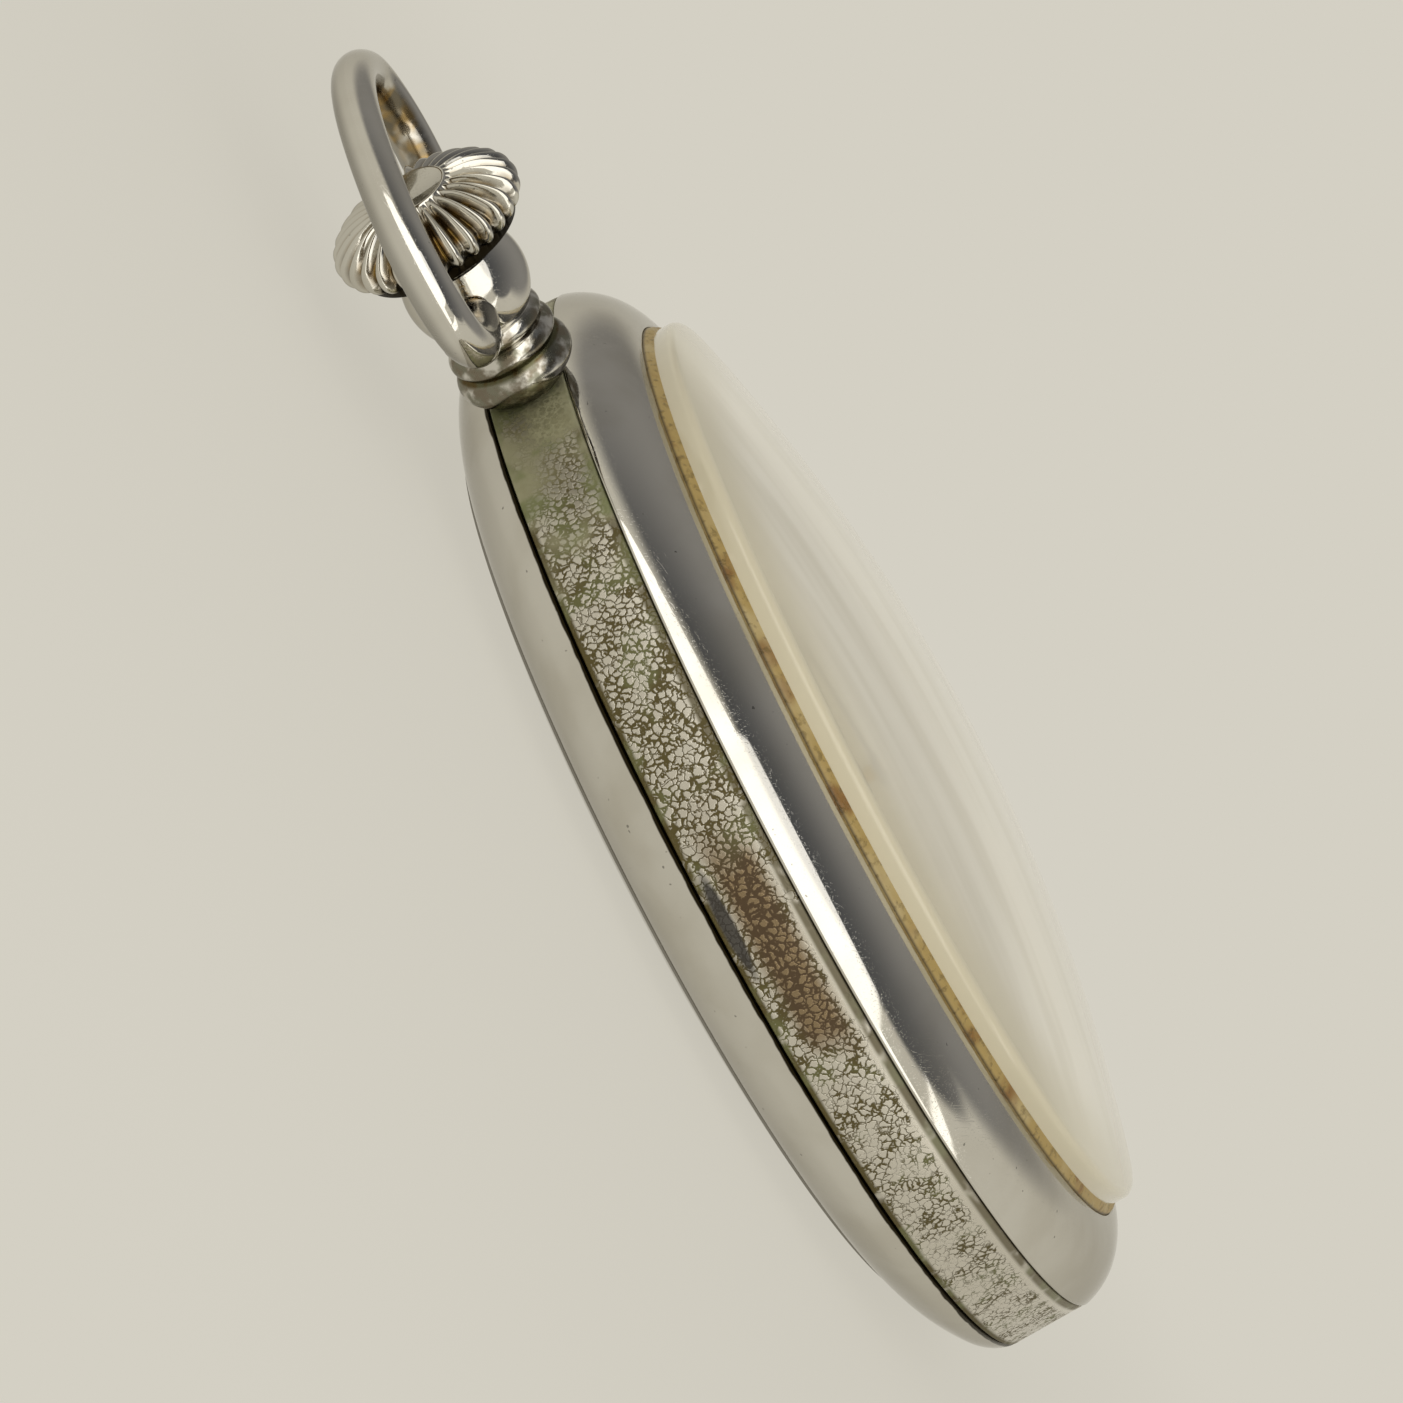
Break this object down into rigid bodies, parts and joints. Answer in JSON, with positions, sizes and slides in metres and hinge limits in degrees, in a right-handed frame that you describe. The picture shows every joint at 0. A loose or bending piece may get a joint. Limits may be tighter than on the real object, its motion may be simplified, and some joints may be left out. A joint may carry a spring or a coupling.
{
  "type": "mechanical stopwatch",
  "caption": "Open-face mechanical pocket stopwatch: press-fit bezel and back, fluted crown in a pendant with a bow, geared movement and return works.",
  "frame": {"origin": "on the case axis, at the flat land of the back that the watch lies on", "axes": "+Z is the dial's normal, up from the back to the glass; +Y points from the case axis to the pendant and crown; +X points to three o'clock"},
  "size_m": [0.05, 0.0654, 0.0139],
  "materials": {
    "nickel_polished": "polished nickel plate with light scratches",
    "nickel_worn": "worn plate, spotted and tarnished grey-green",
    "glass": "domed glass, milky with age",
    "cement": "amber glass cement",
    "dial_enamel": "cream painted dial, satin",
    "brass_gilt": "gilt brass, fine matt",
    "ruby": "polished synthetic ruby",
    "blued_steel": "blued spring steel",
    "steel": "fine ground steel"
  },
  "bodies": {
    "case": {"case_middle": "nickel_worn", "pendant": "nickel_polished", "pendant_sleeve": "steel", "mainplate": "brass_gilt", "barrel_bridge": "brass_gilt", "train_bridge": "brass_gilt", "works_bridge": "brass_gilt", "balance_cock": "brass_gilt", "pallet_bridge": "brass_gilt", "bridge_screws": "steel", "pallet_screws": "steel", "case_screws": "steel", "jewels": "ruby", "dial": "dial_enamel", "crown_wheel_stud": "steel", "hairspring": "blued_steel", "hairspring_stud": "steel", "regulator": "steel", "work_studs": "steel", "click_spring": "blued_steel", "hammer_spring": "blued_steel", "brake_spring": "blued_steel"},
    "back": {"back_cover": "nickel_polished"},
    "bezel_ring": {"bezel": "nickel_polished", "crystal": "glass", "crystal_cement": "cement"},
    "bow": {"bow": "nickel_polished"},
    "stem_slide": {"stem_collar": "steel"},
    "stem": {"crown": "nickel_polished", "winding_stem": "steel", "winding_pinion": "steel"},
    "crown_wheel": {"crown_wheel": "steel"},
    "winding_arbor": {"barrel_arbor": "steel", "ratchet_wheel": "steel"},
    "barrel": {"barrel": "brass_gilt", "barrel_cover": "brass_gilt", "mainspring": "blued_steel"},
    "second": {"second_wheel": "brass_gilt"},
    "third": {"third_wheel": "brass_gilt"},
    "seconds": {"seconds_wheel": "brass_gilt", "seconds_heart": "steel", "sweep_hand": "blued_steel"},
    "idler": {"minute_idler": "brass_gilt"},
    "minutes": {"minute_wheel": "brass_gilt", "minute_heart": "steel", "minute_hand": "blued_steel"},
    "escape": {"escape_wheel": "steel"},
    "fork": {"pallet_fork": "steel", "pallet_stones": "ruby"},
    "balance": {"balance_wheel": "brass_gilt", "roller": "steel"},
    "column": {"column_wheel": "steel"},
    "operating": {"operating_lever": "steel"},
    "brake": {"brake_lever": "steel"},
    "hammer": {"reset_hammer": "steel"},
    "click": {"click": "steel"}
  },
  "joints": [
    {"name": "bow_swing", "type": "hinge", "parent": "case", "child": "bow", "pos_m": [0, 0.03015, 0.0055], "axis": [1, 0, 0], "range_deg": [-120, 120]},
    {"name": "crown_push", "type": "slide", "parent": "case", "child": "stem_slide", "axis": [0, -1, 0], "range_m": [0, 0.0005], "stiffness_N_per_m": 800},
    {"name": "crown_turn", "type": "hinge", "parent": "stem_slide", "child": "stem", "pos_m": [0, 0.03, 0.0055], "axis": [0, 1, 0], "continuous": true},
    {"name": "crown_wheel_turn", "type": "hinge", "parent": "case", "child": "crown_wheel", "pos_m": [0, 0.01345, 0.0025], "axis": [0, 0, 1], "continuous": true},
    {"name": "ratchet_turn", "type": "hinge", "parent": "case", "child": "winding_arbor", "pos_m": [-0.00891, 0.00891, 0.0025], "axis": [0, 0, 1], "continuous": true},
    {"name": "seconds_turn", "type": "hinge", "parent": "case", "child": "seconds", "pos_m": [0, 0, 0.0042], "axis": [0, 0, 1], "continuous": true},
    {"name": "third_turn", "type": "hinge", "parent": "case", "child": "third", "pos_m": [-0.00516, -0.00361, 0.0048], "axis": [0, 0, 1], "continuous": true},
    {"name": "second_turn", "type": "hinge", "parent": "case", "child": "second", "pos_m": [-0.01023, 0.00092, 0.0054], "axis": [0, 0, 1], "continuous": true},
    {"name": "barrel_turn", "type": "hinge", "parent": "case", "child": "barrel", "pos_m": [-0.00891, 0.00891, 0.0041], "axis": [0, 0, 1], "continuous": true},
    {"name": "escape_turn", "type": "hinge", "parent": "case", "child": "escape", "pos_m": [0.00438, -0.00368, 0.0048], "axis": [0, 0, 1], "continuous": true},
    {"name": "idler_turn", "type": "hinge", "parent": "case", "child": "idler", "pos_m": [0.0011, 0.00317, 0.0067], "axis": [0, 0, 1], "continuous": true},
    {"name": "minute_turn", "type": "hinge", "parent": "case", "child": "minutes", "pos_m": [0, 0.0066, 0.0065], "axis": [0, 0, 1], "continuous": true},
    {"name": "balance_swing", "type": "hinge", "parent": "case", "child": "balance", "pos_m": [0.01013, -0.0085, 0.0032], "axis": [0, 0, 1], "range_deg": [-150, 150], "stiffness_Nm_per_rad": 0.00000025},
    {"name": "fork_swing", "type": "hinge", "parent": "case", "child": "fork", "pos_m": [0.00691, -0.0058, 0.0048], "axis": [0, 0, 1], "range_deg": [-4, 4]},
    {"name": "column_turn", "type": "hinge", "parent": "case", "child": "column", "pos_m": [0.0102, 0.0109, 0.0025], "axis": [0, 0, 1], "continuous": true},
    {"name": "lever_press", "type": "hinge", "parent": "case", "child": "operating", "pos_m": [0.0145, 0.0095, 0.0051], "axis": [0, 0, 1], "range_deg": [0, 2.05]},
    {"name": "brake_lift", "type": "hinge", "parent": "case", "child": "brake", "pos_m": [0.0082, 0.0006, 0.002], "axis": [0, 0, 1], "range_deg": [0, 4], "stiffness_Nm_per_rad": 0.0001},
    {"name": "hammer_lift", "type": "hinge", "parent": "case", "child": "hammer", "pos_m": [0.0055, 0.0105, 0.002], "axis": [0, 0, 1], "range_deg": [0, 3], "stiffness_Nm_per_rad": 0.0001},
    {"name": "click_lift", "type": "hinge", "parent": "case", "child": "click", "pos_m": [-0.01586, 0.00638, 0.0025], "axis": [0, 0, 1], "range_deg": [0, 6], "stiffness_Nm_per_rad": 0.00002},
    {"name": "bezel_lift", "type": "slide", "parent": "case", "child": "bezel_ring", "axis": [0, 0, 1], "range_m": [0, 0.008]},
    {"name": "back_lift", "type": "slide", "parent": "case", "child": "back", "axis": [0, 0, -1], "range_m": [0, 0.008]}
  ],
  "couplings": [
    {"joint": "crown_wheel_turn", "follows": "crown_turn", "ratio": 0.54545},
    {"joint": "ratchet_turn", "follows": "crown_turn", "ratio": -0.36364},
    {"joint": "third_turn", "follows": "seconds_turn", "ratio": -0.125},
    {"joint": "second_turn", "follows": "seconds_turn", "ratio": 0.016667},
    {"joint": "barrel_turn", "follows": "seconds_turn", "ratio": -0.0025641},
    {"joint": "escape_turn", "follows": "seconds_turn", "ratio": -10},
    {"joint": "idler_turn", "follows": "seconds_turn", "ratio": -0.16667},
    {"joint": "minute_turn", "follows": "seconds_turn", "ratio": 0.033333},
    {"joint": "lever_press", "follows": "crown_push", "rad_per_m": 70.175}
  ]
}
